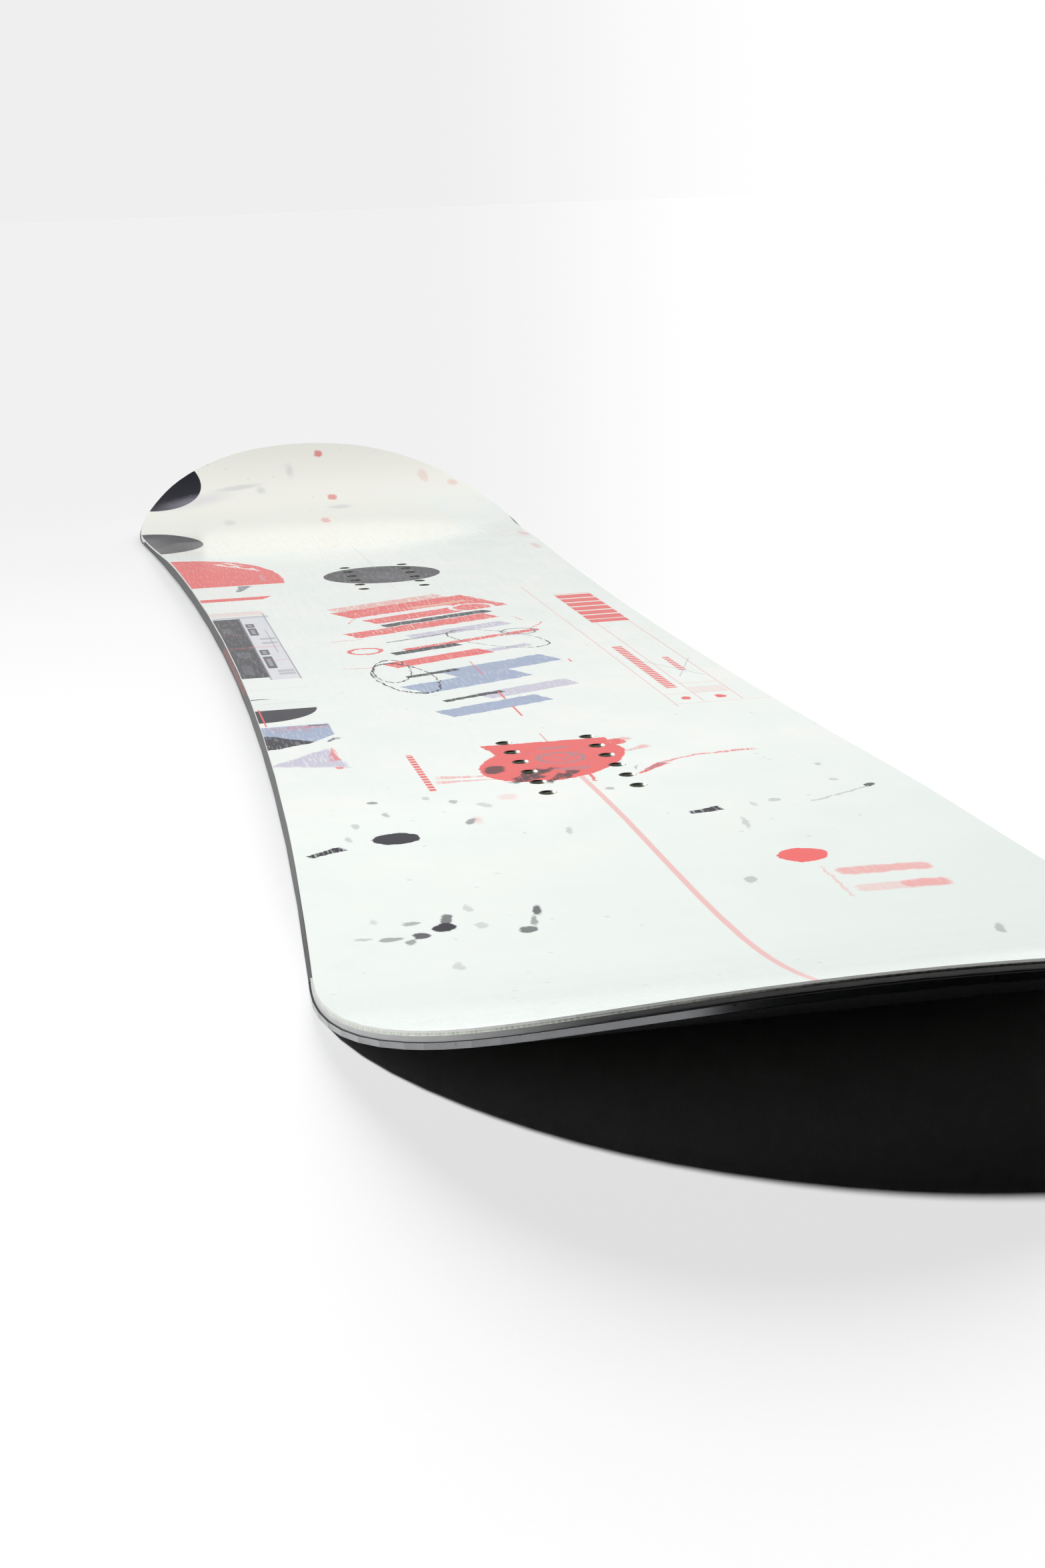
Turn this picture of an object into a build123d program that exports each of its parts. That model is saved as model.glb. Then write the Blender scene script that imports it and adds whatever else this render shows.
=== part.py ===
from build123d import *
from math import asin, cos, sin, sqrt
import os

# A cambered twin snowboard, bare, as it comes out of the press: X across, Y towards the nose, Z up.
# The origin lies on the ground under the middle of the board. All sizes are millimetres.

# ---- plan -------------------------------------------------------------------------------------
length = 1540.0
waist_width = 251.0
sidecut_depth = 22.4  # how far the waist lies inside the widest points, on each side
tip_length = 175.0  # from the widest point to the end of the nose or tail
tip_bluntness = 1.40  # radius of the very end, over that of a plain half ellipse
side_fullness = 1.12  # radius beside the widest point, over that of a plain half ellipse
shoulder_tightness = 0.76  # radius of the shoulder, over the mean of tip length and half width

# ---- side view --------------------------------------------------------------------------------
contact_setback = 205.0  # from the end of the board to the line where it touches the ground
camber = 2.0  # height of the base over the ground at the waist
tip_rise = 49.0  # height of the base over the ground at the very end

# ---- layers, from the ground up -----------------------------------------------------------------
base_thickness = 1.3
edge_height = 2.0
edge_width = 2.0
lug_width = 5.0  # flange of the steel edge that lies on the base
foil_thickness = 0.3
core_thickness = 5.4  # under the feet and at the waist
spacer_thickness = 1.7  # at the nose and tail
glass_thickness = 0.8
topsheet_thickness = 0.7

# ---- core, sidewalls and spacers ----------------------------------------------------------------
sidewall_width = 10.0
sidewall_bevel = 1.4  # how far the top of the sidewall leans in
spacer_reveal = 0.7  # how far the spacers stand back from the steel edge
spacer_length = 70.0  # from the end of the core to the end of the board
sidewall_setback = 25.0  # from the widest point back to the end of the sidewall
stations = 13  # sections that the sidewall is lofted through
core_end_fullness = 42.0  # how much larger the round end of the core is than the half width
taper_margin = 14.0  # full core thickness goes on this far past the outermost insert
taper_setback = 20.0  # from the widest point back to the end of the taper
centre_strip_width = 20.0
strip_width = 24.0
strips_each_side = 3  # between the centre strip and the outer strip

# ---- inserts ------------------------------------------------------------------------------------
stance = 585.0  # between the middles of the two packs
setback = 22.0  # of the stance's middle towards the tail
column_spacing = 40.0
row_spacing = 20.0
columns = 2
rows = 6
sleeve_radius = 4.8
flange_radius = 7.5
flange_thickness = 1.0
thread_radius = 2.5  # plain bore at the crest of an M6 thread
thread_floor = 0.9
lead_in = 0.7
insert_fit = 0.05  # resin gap round each insert
deck_hole_radius = 3.5

# ---- worked out from the above --------------------------------------------------------------------
half_length = length / 2
tip_width = waist_width + 2 * sidecut_depth
half_tip_width = tip_width / 2
widest_at = half_length - tip_length
contact_at = half_length - contact_setback
laminate_level = edge_height + foil_thickness
glass_level_middle = laminate_level + core_thickness
glass_level_tip = laminate_level + spacer_thickness
sheet_level_middle = glass_level_middle + glass_thickness
sheet_level_tip = glass_level_tip + glass_thickness
deck_level_middle = sheet_level_middle + topsheet_thickness
deck_level_tip = sheet_level_tip + topsheet_thickness
edge_reach = edge_width + lug_width
core_end = half_length - spacer_length
sidewall_end = widest_at - sidewall_setback
pack_reach = stance / 2 + setback + (rows - 1) / 2 * row_spacing
taper_start = pack_reach + taper_margin
taper_end = widest_at - taper_setback
overrun = 12.0  # bands and cutters run this far past the board
half_span = half_tip_width + overrun
ceiling = tip_rise + deck_level_middle + 2 * overrun
os.makedirs("parts", exist_ok=True)

# Plan: four tangent arcs a quarter. The waist arc curves the other way from the three of the tip.
side_radius = side_fullness * tip_length**2 / half_tip_width
end_radius = tip_bluntness * half_tip_width**2 / tip_length
shoulder_radius = shoulder_tightness * sqrt(tip_length * half_tip_width)
waist_radius = (widest_at**2 + sidecut_depth**2) / (2 * sidecut_depth) - side_radius
waist_centre = Vector(waist_width / 2 + waist_radius, 0)
side_centre = Vector(half_tip_width - side_radius, widest_at)
end_centre = Vector(0, half_length - end_radius)


def crossing(first, first_reach, second, second_reach):
    """The crossing of two circles, on the side of the board's shoulder."""
    apart = second - first
    along = (first_reach**2 - second_reach**2 + apart.length**2) / (2 * apart.length)
    across = sqrt(first_reach**2 - along**2)
    ahead = apart.normalized()
    left = Vector(-ahead.Y, ahead.X)
    both = [first + ahead * along + left * across, first + ahead * along - left * across]
    return max(both, key=lambda point: point.X + point.Y)


shoulder_centre = crossing(
    side_centre, side_radius - shoulder_radius, end_centre, end_radius - shoulder_radius
)


def towards(start, end, reach):
    """The point at a distance from start, in the direction of end."""
    return start + (end - start).normalized() * reach


def quarter_points(inset):
    """Joints of one quarter's arcs on the line parallel to the rim, with a point inside each arc."""
    waist_end = towards(side_centre, waist_centre, side_radius - inset)
    side_end = towards(side_centre, shoulder_centre, side_radius - inset)
    shoulder_end = towards(end_centre, shoulder_centre, end_radius - inset)
    middle = (waist_end + side_end) / 2
    side_middle = towards(side_centre, middle, side_radius - inset)
    middle = (side_end + shoulder_end) / 2
    shoulder_middle = towards(shoulder_centre, middle, shoulder_radius - inset)
    return waist_end, side_middle, side_end, shoulder_middle, shoulder_end


def flip(point, across, along):
    return (point.X * across, point.Y * along)


def outline(inset):
    """Face of the board's plan, drawn in by the inset all round."""
    waist_end, side_middle, side_end, shoulder_middle, shoulder_end = quarter_points(inset)
    with BuildSketch() as plan:
        with BuildLine():
            for across in (1, -1):
                waist = (across * (waist_width / 2 - inset), 0)
                ThreePointArc(flip(waist_end, across, -1), waist, flip(waist_end, across, 1))
                for along in (1, -1):
                    ThreePointArc(
                        flip(waist_end, across, along),
                        flip(side_middle, across, along),
                        flip(side_end, across, along),
                    )
                    ThreePointArc(
                        flip(side_end, across, along),
                        flip(shoulder_middle, across, along),
                        flip(shoulder_end, across, along),
                    )
            for along in (1, -1):
                ThreePointArc(
                    flip(shoulder_end, -1, along),
                    (0, along * (half_length - inset)),
                    flip(shoulder_end, 1, along),
                )
        make_face()
    return plan.sketch


def half_width(along):
    """Half of the board's width at a distance from the middle, on the waist arc."""
    return waist_width / 2 + waist_radius - sqrt(waist_radius**2 - along**2)


# Side view: one large arc over the ground, joined at each end by a tangent arc that curves up and
# touches the ground at its lowest point. Each layer is parallel to it.
kick_radius = (contact_setback**2 + tip_rise**2) / (2 * tip_rise)
camber_radius = (contact_at**2 + camber**2) / (2 * camber) - kick_radius
join_at = contact_at * camber_radius / (camber_radius + kick_radius)
reach = half_length + overrun


def lean(along):
    """Angle by which the base falls towards the tip, at a distance from the middle."""
    if abs(along) <= join_at:
        return asin(along / camber_radius)
    past = abs(along) - contact_at
    return -asin(past / kick_radius) * (1 if along > 0 else -1)


def at_level(along, level):
    """Point at a height over the base, square to it, at a distance from the middle."""
    if abs(along) <= join_at:
        ground = camber - camber_radius + sqrt(camber_radius**2 - along**2)
    else:
        ground = kick_radius - sqrt(kick_radius**2 - (abs(along) - contact_at) ** 2)
    return (along + level * sin(lean(along)), ground + level * cos(lean(along)))


def level_line(middle, tip):
    """Edges from tail to nose at a height over the base, which may change along the tapers."""
    arc_end = join_at if middle == tip else taper_start
    kick_start = join_at if middle == tip else taper_end
    ThreePointArc(at_level(-arc_end, middle), at_level(0, middle), at_level(arc_end, middle))
    for way in (1, -1):
        start = at_level(way * kick_start, tip)
        halfway = at_level(way * (kick_start + reach) / 2, tip)
        ThreePointArc(start, halfway, at_level(way * reach, tip))
        if middle != tip:
            slopes = [(cos(lean(y)), -sin(lean(y))) for y in (arc_end, kick_start)]
            Spline(
                (way * at_level(arc_end, middle)[0], at_level(arc_end, middle)[1]),
                start,
                tangents=[(way * slope[0], slope[1]) for slope in slopes],
            )


def band(lower, upper, at=0.0):
    """Face of a layer seen from the side; lower and upper are (middle, tip) heights."""
    with BuildSketch(Plane.YZ.offset(at)) as side:
        with BuildLine():
            level_line(*lower)
            level_line(*upper)
            for way in (1, -1):
                Line(at_level(way * reach, lower[1]), at_level(way * reach, upper[1]))
        make_face()
    return side.sketch


def flat(level):
    return (level, level)


core_bottom = flat(laminate_level)
flange_top = flat(laminate_level + flange_thickness)
core_top = (glass_level_middle, glass_level_tip)
glass_top = (sheet_level_middle, sheet_level_tip)
deck = (deck_level_middle, deck_level_tip)

rim_plan = outline(0)
inner_plan = outline(edge_width)
lug_plan = outline(edge_reach)
deck_plan = outline(sidewall_bevel)
spacer_plan = outline(spacer_reveal)

core_end_radius = half_tip_width + core_end_fullness
with BuildSketch() as core_sketch:
    add(outline(sidewall_width))
    SlotCenterToCenter(
        2 * (core_end - core_end_radius), 2 * core_end_radius, rotation=90, mode=Mode.INTERSECT
    )
core_plan = core_sketch.sketch

pack_middles = {"front": stance / 2 - setback, "rear": -stance / 2 - setback}


def pack_grid(middle):
    """Places of one pack's inserts in plan, from its middle."""
    return [
        (x, middle + y)
        for x in [(column - (columns - 1) / 2) * column_spacing for column in range(columns)]
        for y in [(row - (rows - 1) / 2) * row_spacing for row in range(rows)]
    ]


all_inserts = pack_grid(pack_middles["front"]) + pack_grid(pack_middles["rear"])


def discs(places, radius):
    """Round faces of one radius, on the ground, at the places."""
    with BuildSketch() as spots:
        with Locations(*places):
            Circle(radius)
    return spots.sketch


deck_holes = discs(all_inserts, deck_hole_radius)
sleeve_holes = discs(all_inserts, sleeve_radius + insert_fit)
flange_holes = discs(all_inserts, flange_radius + insert_fit)


def save(piece, name):
    piece.label = name
    export_step(piece, f"parts/{name}.step")


# ---- running base ---------------------------------------------------------------------------------
with BuildPart() as base:
    extrude(band(flat(0), flat(base_thickness)), half_span, both=True)
    extrude(inner_plan, ceiling, mode=Mode.INTERSECT)
save(base.part, "base")

# ---- steel edge: a body beside the base, and a flange on top of it; two halves meet at the tips ----
with BuildPart() as edge_right:
    extrude(band(flat(0), flat(edge_height)), half_span, both=True)
    extrude(rim_plan, ceiling, mode=Mode.INTERSECT)
    extrude(lug_plan, ceiling, mode=Mode.SUBTRACT)
    add(base.part, mode=Mode.SUBTRACT)
    split(bisect_by=Plane.YZ, keep=Keep.TOP)
save(edge_right.part, "edge_right")

with BuildPart() as edge_left:
    mirror(edge_right.part, about=Plane.YZ)
save(edge_left.part, "edge_left")

# ---- rubber foil on the steel edge, which keeps the laminate from tearing off it -------------------
with BuildPart() as foil_right:
    extrude(band(flat(edge_height), flat(laminate_level)), half_span, both=True)
    extrude(rim_plan, ceiling, mode=Mode.INTERSECT)
    extrude(lug_plan, ceiling, mode=Mode.SUBTRACT)
    split(bisect_by=Plane.YZ, keep=Keep.TOP)
save(foil_right.part, "rubber_foil_right")

with BuildPart() as foil_left:
    mirror(foil_right.part, about=Plane.YZ)
save(foil_left.part, "rubber_foil_left")

# ---- lower glass laminate, between the edge flanges ------------------------------------------------
with BuildPart() as lower_glass:
    extrude(band(flat(base_thickness), flat(laminate_level)), half_span, both=True)
    extrude(lug_plan, ceiling, mode=Mode.INTERSECT)
save(lower_glass.part, "lower_glass")

# ---- wood core: strips glued side by side, cut to the plan and drilled for the inserts -------------
strip_edges = [centre_strip_width / 2 + count * strip_width for count in range(strips_each_side + 1)]
strip_ranges = {"core_strip_centre": (-strip_edges[0], strip_edges[0])}
for count in range(strips_each_side):
    strip_ranges[f"core_strip_right_{count + 1}"] = (strip_edges[count], strip_edges[count + 1])
    strip_ranges[f"core_strip_left_{count + 1}"] = (-strip_edges[count + 1], -strip_edges[count])
strip_ranges["core_strip_right_outer"] = (strip_edges[-1], half_span)
strip_ranges["core_strip_left_outer"] = (-half_span, -strip_edges[-1])

with BuildPart() as flange_recesses:
    extrude(band(core_bottom, flange_top), half_span, both=True)
    extrude(flange_holes, ceiling, mode=Mode.INTERSECT)

for name, (left_side, right_side) in strip_ranges.items():
    with BuildPart() as strip:
        extrude(band(core_bottom, core_top, left_side), right_side - left_side)
        extrude(core_plan, ceiling, mode=Mode.INTERSECT)
        extrude(sleeve_holes, ceiling, mode=Mode.SUBTRACT)
        add(flange_recesses.part, mode=Mode.SUBTRACT)
    save(strip.part, name)

# ---- sidewalls: leaning plastic strips beside the core ---------------------------------------------
with BuildPart() as sidewall_right:
    for count in range(stations):
        along = sidewall_end * (2 * count / (stations - 1) - 1)
        share = min(max((abs(along) - taper_start) / (taper_end - taper_start), 0), 1)
        height = core_thickness + (spacer_thickness - core_thickness) * share**2 * (3 - 2 * share)
        low = at_level(along, laminate_level)[1]
        steepness = sidewall_bevel / height
        outer = half_width(along)
        with BuildSketch(Plane.XZ.offset(-along)):
            with BuildLine():
                Polyline(
                    (outer + steepness, low - 1),
                    (outer - sidewall_bevel - steepness, low + height + 1),
                    (outer - 2 * sidewall_width, low + height + 1),
                    (outer - 2 * sidewall_width, low - 1),
                    close=True,
                )
            make_face()
    loft()
    extrude(band(core_bottom, core_top), half_span, both=True, mode=Mode.INTERSECT)
    extrude(core_plan, ceiling, mode=Mode.SUBTRACT)
save(sidewall_right.part, "sidewall_right")

with BuildPart() as sidewall_left:
    mirror(sidewall_right.part, about=Plane.YZ)
save(sidewall_left.part, "sidewall_left")

# ---- spacers: thin plastic crescents that take the core's place in the nose and tail ---------------
with BuildPart() as nose_spacer:
    extrude(band(core_bottom, core_top), half_span, both=True)
    extrude(spacer_plan, ceiling, mode=Mode.INTERSECT)
    extrude(core_plan, ceiling, mode=Mode.SUBTRACT)
    split(bisect_by=Plane.XZ.offset(-sidewall_end), keep=Keep.BOTTOM)
save(nose_spacer.part, "nose_spacer")

with BuildPart() as tail_spacer:
    mirror(nose_spacer.part, about=Plane.XZ)
save(tail_spacer.part, "tail_spacer")

# ---- threaded inserts: a flanged steel sleeve, closed below, with a countersunk mouth --------------
bore_bottom = flat(laminate_level + thread_floor)
for name, middle in pack_middles.items():
    places = pack_grid(middle)
    with BuildPart() as flanges:
        extrude(band(core_bottom, flange_top), half_span, both=True)
        extrude(discs(places, flange_radius), ceiling, mode=Mode.INTERSECT)
    with BuildPart() as bores:
        extrude(band(bore_bottom, deck), half_span, both=True)
        extrude(discs(places, thread_radius), ceiling, mode=Mode.INTERSECT)
    with BuildPart() as inserts:
        extrude(band(core_bottom, core_top), half_span, both=True)
        extrude(discs(places, sleeve_radius), ceiling, mode=Mode.INTERSECT)
        add(flanges.part)
        add(bores.part, mode=Mode.SUBTRACT)
        for x, y in places:
            with Locations((x, y, at_level(y, glass_level_middle)[1])):
                Cone(
                    thread_radius,
                    thread_radius + lead_in,
                    lead_in,
                    align=(Align.CENTER, Align.CENTER, Align.MAX),
                    mode=Mode.SUBTRACT,
                )
    save(inserts.part, f"inserts_{name}")

# ---- upper glass laminate and printed topsheet, drilled over the inserts ---------------------------
with BuildPart() as upper_glass:
    extrude(band(core_top, glass_top), half_span, both=True)
    extrude(deck_plan, ceiling, mode=Mode.INTERSECT)
    extrude(deck_holes, ceiling, mode=Mode.SUBTRACT)
save(upper_glass.part, "upper_glass")

with BuildPart() as topsheet:
    extrude(band(glass_top, deck), half_span, both=True)
    extrude(deck_plan, ceiling, mode=Mode.INTERSECT)
    extrude(deck_holes, ceiling, mode=Mode.SUBTRACT)
save(topsheet.part, "topsheet")
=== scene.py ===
from math import radians

import bmesh
import bpy
from mathutils import Matrix, Vector


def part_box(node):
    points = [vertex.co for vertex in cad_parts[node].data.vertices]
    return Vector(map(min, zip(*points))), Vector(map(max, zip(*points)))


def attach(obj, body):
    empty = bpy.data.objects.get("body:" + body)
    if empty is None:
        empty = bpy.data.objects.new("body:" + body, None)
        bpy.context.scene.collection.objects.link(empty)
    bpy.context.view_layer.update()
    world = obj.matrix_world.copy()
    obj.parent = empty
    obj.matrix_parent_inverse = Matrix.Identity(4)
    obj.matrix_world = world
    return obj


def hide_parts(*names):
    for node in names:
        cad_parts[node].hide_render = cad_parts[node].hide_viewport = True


# A bare twin snowboard on a white studio floor, seen low over its tail. The frame holds every layer
# of the laminate; this script finishes their surfaces and prints the deck.
# Lengths given in millimetres are multiplied by MM.

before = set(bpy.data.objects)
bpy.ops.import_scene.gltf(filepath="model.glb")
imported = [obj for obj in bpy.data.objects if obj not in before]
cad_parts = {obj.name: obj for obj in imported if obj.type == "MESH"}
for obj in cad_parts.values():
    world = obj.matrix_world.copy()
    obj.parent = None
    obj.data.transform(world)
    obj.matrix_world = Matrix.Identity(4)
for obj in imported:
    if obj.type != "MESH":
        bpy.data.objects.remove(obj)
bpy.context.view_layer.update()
MM = 0.001


# ---- shared helpers -------------------------------------------------------------------------------
def linear(hex_colour):
    """An sRGB hex colour as the linear one that a shader takes."""
    parts = [int(hex_colour[at:at + 2], 16) / 255 for at in (0, 2, 4)]
    return [p / 12.92 if p <= 0.04045 else ((p + 0.055) / 1.055) ** 2.4 for p in parts] + [1.0]


def add(tree, kind, inputs=None, **settings):
    """Adds a node with its settings; inputs are values or the sockets that feed it."""
    node = tree.nodes.new(kind)
    for name, value in settings.items():
        setattr(node, name, value)
    for key, value in (inputs or {}).items():
        if isinstance(value, bpy.types.NodeSocket):
            tree.links.new(value, node.inputs[key])
        else:
            node.inputs[key].default_value = value
    return node


def empty_material(name):
    """A new material and its cleared node tree."""
    material = bpy.data.materials.new(name)
    material.use_nodes = True
    material.node_tree.nodes.clear()
    return material, material.node_tree


def finish_material(tree, shader):
    add(tree, "ShaderNodeOutputMaterial", {"Surface": shader.outputs["BSDF"]})


def bump(tree, height, depth, normal=None):
    """Normals of a relief; height goes from 0 to 1 over a depth in millimetres."""
    inputs = {"Height": height, "Distance": depth * MM}
    if normal:
        inputs["Normal"] = normal
    return add(tree, "ShaderNodeBump", inputs).outputs["Normal"]


def place_in_mm(tree, stretch=(1, 1, 1)):
    """The object's own coordinates in millimetres, each axis divided by its stretch."""
    place = add(tree, "ShaderNodeTexCoord").outputs["Object"]
    scale = [1 / (MM * part) for part in stretch]
    return add(tree, "ShaderNodeMapping", {"Vector": place, "Scale": scale}).outputs["Vector"]


# ---- printed shapes -------------------------------------------------------------------------------
# Each shape is a node group that turns a place on the deck into a coverage of ink from 0 to 1.
SHAPE_INPUTS = {
    "Place": "Vector",
    "Middle": "Vector",
    "Half": "Vector",
    "Turn": "Float",
    "Edge": "Float",
    "Extra": "Float",
    "Wear": "Float",
    "Gaps": "Float",
}


def shape_group(name, measure):
    """A printed shape; measure adds the nodes for how far inside the shape a place lies."""
    tree = bpy.data.node_groups.new(name, "ShaderNodeTree")
    for label, kind in SHAPE_INPUTS.items():
        tree.interface.new_socket(label, in_out="INPUT", socket_type=f"NodeSocket{kind}")
    tree.interface.new_socket("Ink", in_out="OUTPUT", socket_type="NodeSocketFloat")
    given = add(tree, "NodeGroupInput").outputs
    apart = add(tree, "ShaderNodeVectorMath", {0: given["Place"], 1: given["Middle"]}, operation="SUBTRACT")
    own = add(
        tree,
        "ShaderNodeVectorRotate",
        {"Vector": apart.outputs[0], "Angle": given["Turn"]},
        rotation_type="Z_AXIS",
        invert=True,
    )
    inside = measure(tree, own.outputs[0], given)
    across_edge = add(tree, "ShaderNodeMath", {0: inside, 1: given["Edge"]}, operation="DIVIDE")
    cover = add(
        tree,
        "ShaderNodeMapRange",
        {"Value": across_edge.outputs[0], "From Min": -1},
        interpolation_type="SMOOTHSTEP",
        clamp=False,
    )
    lost = add(tree, "ShaderNodeMath", {0: given["Wear"], 1: given["Gaps"]}, operation="MULTIPLY")
    kept = add(tree, "ShaderNodeMath", {0: 1.0, 1: lost.outputs[0]}, operation="SUBTRACT")
    ink = add(tree, "ShaderNodeMath", {0: cover.outputs[0], 1: kept.outputs[0]}, operation="MULTIPLY")
    add(tree, "NodeGroupOutput", {"Ink": ink.outputs[0]})
    return tree


def oval_measure(tree, own, given):
    share = add(tree, "ShaderNodeVectorMath", {0: own, 1: given["Half"]}, operation="DIVIDE")
    far = add(tree, "ShaderNodeVectorMath", {0: share.outputs[0]}, operation="LENGTH")
    return add(tree, "ShaderNodeMath", {0: 1.0, 1: far.outputs["Value"]}, operation="SUBTRACT").outputs[0]


def ring_measure(tree, own, given):
    inside = oval_measure(tree, own, given)
    off = add(tree, "ShaderNodeMath", {0: inside}, operation="ABSOLUTE")
    line = add(tree, "ShaderNodeMath", {0: given["Extra"], 1: off.outputs[0]}, operation="SUBTRACT")
    return line.outputs[0]


def bar_measure(tree, own, given):
    size = add(tree, "ShaderNodeVectorMath", {0: own}, operation="ABSOLUTE")
    past = add(tree, "ShaderNodeVectorMath", {0: size.outputs[0], 1: given["Half"]}, operation="SUBTRACT")
    out = add(tree, "ShaderNodeVectorMath", {0: past.outputs[0], 1: (0, 0, 0)}, operation="MAXIMUM")
    far = add(tree, "ShaderNodeVectorMath", {0: out.outputs[0]}, operation="LENGTH")
    inside = add(tree, "ShaderNodeMath", {0: given["Extra"], 1: far.outputs["Value"]}, operation="SUBTRACT")
    return inside.outputs[0]


def wedge_measure(tree, own, given):
    share = add(tree, "ShaderNodeVectorMath", {0: own, 1: given["Half"]}, operation="DIVIDE")
    size = add(tree, "ShaderNodeVectorMath", {0: share.outputs[0]}, operation="ABSOLUTE")
    across, along, signed = (
        add(
            tree,
            "ShaderNodeVectorMath",
            {0: source.outputs[0], 1: axis},
            operation="DOT_PRODUCT",
        ).outputs["Value"]
        for source, axis in ((size, (1, 0, 0)), (size, (0, 1, 0)), (share, (0, 1, 0)))
    )
    width = add(tree, "ShaderNodeMath", {0: signed, 1: given["Extra"], 2: 1.0}, operation="MULTIPLY_ADD")
    side = add(tree, "ShaderNodeMath", {0: width.outputs[0], 1: across}, operation="SUBTRACT")
    end = add(tree, "ShaderNodeMath", {0: 1.0, 1: along}, operation="SUBTRACT")
    inside = add(tree, "ShaderNodeMath", {0: side.outputs[0], 1: end.outputs[0]}, operation="MINIMUM")
    return inside.outputs[0]


SHAPES = {
    "oval": shape_group("printed_oval", oval_measure),
    "ring": shape_group("printed_ring", ring_measure),
    "bar": shape_group("printed_bar", bar_measure),
    "wedge": shape_group("printed_wedge", wedge_measure),
}
# Inks, as printed under the clear gloss; pale and paler are no ink but painted highlight on the upturned
# nose.
INKS = {
    "coral": "DB5E5C",
    "blush": "DBA9A2",
    "pitch": "2B2A33",
    "navy": "191A23",
    "slate": "94A1BB",
    "lilac": "BDB9C9",
    "smoke": "A9ABB3",
    "chalk": "E2E4E3",
    "pale": "E1E2DA",
    "paler": "EEEEE6",
    "peach": "DEA791",
    "ash": "80808A",
}


class Deck:
    """One field of the deck's print: a colour that shape after shape is laid over."""

    def __init__(self, tree, sheet, crisp, ragged, gaps, rows):
        self.tree = tree
        self.sheet = sheet
        self.colour = sheet
        self.rows = rows
        self.places = {"crisp": crisp, "ragged": ragged}
        self.gaps = gaps

    def lay(self, shape, ink, x, y, half_x, half_y, turn=0, extra=0.0, soft=0.25,
            place="ragged", wear=0.0, strength=1.0, gaps=None):
        """Lays one shape: its middle, half sizes and softness in millimetres, its turn in degrees.

        Extra is a bar's corner radius, a ring's half line in millimetres, or a wedge's taper."""
        smallest = min(half_x, half_y)
        edge = soft / smallest
        if shape == "bar":
            extra = max(extra, 0.2)
            half_x = max(half_x - extra, 0.01)
            half_y = max(half_y - extra, 0.01)
            edge = soft
        if shape == "ring":
            extra = extra / smallest
        inputs = {
            "Place": self.places[place],
            "Middle": (x, y, 0),
            "Half": (half_x, half_y, 1),
            "Turn": radians(turn),
            "Edge": edge,
            "Extra": extra,
            "Wear": wear,
            "Gaps": gaps or self.gaps,
        }
        group = self.tree.nodes.new("ShaderNodeGroup")
        group.node_tree = SHAPES[shape]
        for label, value in inputs.items():
            if isinstance(value, bpy.types.NodeSocket):
                self.tree.links.new(value, group.inputs[label])
            else:
                group.inputs[label].default_value = value
        cover = group.outputs["Ink"]
        if strength != 1.0:
            weaker = add(self.tree, "ShaderNodeMath", {0: cover, 1: strength}, operation="MULTIPLY")
            cover = weaker.outputs[0]
        self.mix(cover, ink)

    def mix(self, cover, ink):
        """Puts an ink, or the bare sheet, over the colour so far, where the cover is 1."""
        mixed = add(
            self.tree,
            "ShaderNodeMix",
            {"Factor": cover, 6: self.colour, 7: self.sheet if ink == "bare" else linear(INKS[ink])},
            data_type="RGBA",
        )
        self.colour = mixed.outputs[2]


def print_nose(deck):
    """Large discs cut by the rim, a few small spots, and a pale disc and a soft paler band that are painted
    highlight on the upturned nose.
    """
    # painted highlight: the upturned nose is laid paler, a disc and a soft band over its tip, for the light
    # it catches
    deck.lay("oval", "pale", -42, 572, 143, 146, place="crisp", soft=1.0)
    deck.lay("bar", "paler", 0, 735, 160, 75, extra=40, place="crisp", soft=45)
    deck.lay("oval", "navy", -130, 715, 40, 53, place="crisp")
    deck.lay("oval", "pitch", -143, 530, 40, 64, place="crisp")
    for x, y, half_x, half_y, strength in (
        (14, 752, 3.5, 5, 0.75),
        (15, 671, 4, 6, 0.65),
        (1, 607, 3.5, 9, 0.45),
        (133, 455, 2.5, 16, 0.35),
        (126, 372, 2.5, 14, 0.3),
        (97, 705, 4, 12, 0.2),
        (119, 688, 4, 6, 0.25),
    ):
        deck.lay("oval", "coral", x, y, half_x, half_y, soft=1.2, strength=strength)
    for x, y, half_x, half_y, turn in (
        (-60, 702, 17, 4, 12),
        (-42, 694, 3, 6, 0),
        (18, 646, 9, 5, 0),
        (-14, 727, 2.5, 9, 0),
        (-75, 618, 4, 8, 0),
    ):
        deck.lay("oval", "smoke", x, y, half_x, half_y, turn=turn, soft=2.5, strength=0.35)
    deck.lay("oval", "lilac", -98, 678, 28, 10, turn=25, soft=8, strength=0.35)


def print_front_pack(deck):
    """The red half disc at the rim and the dark disc round the front inserts."""
    deck.lay("oval", "coral", -134, 292, 68, 118, wear=0.12)
    deck.lay("bar", "bare", -110, 244, 60, 26, place="crisp")
    for x, y, length, turn in (
        (-88, 352, 16, 22),
        (-98, 366, 14, 26),
        (-80, 340, 10, 20),
        (-92, 372, 12, 30),
    ):
        deck.lay("wedge", "bare", x, y, 1.1, length, turn=turn, extra=0.9, wear=0.4)
    deck.lay("oval", "pitch", 0, 279, 39.5, 38.5, place="crisp", wear=0.12)
    deck.lay("oval", "ash", 4, 268, 16, 20, soft=12, strength=0.22)
    deck.lay("wedge", "ash", -97, 255, 3, 13, turn=-14, extra=0.6, wear=0.6)
    deck.lay("bar", "smoke", -79, 300, 1.2, 16, strength=0.4)
    deck.lay("bar", "blush", -0.5, 205, 0.35, 38, place="crisp", strength=0.35)
    deck.lay("bar", "smoke", 0, 420, 0.5, 110, place="crisp", strength=0.3)


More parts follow.
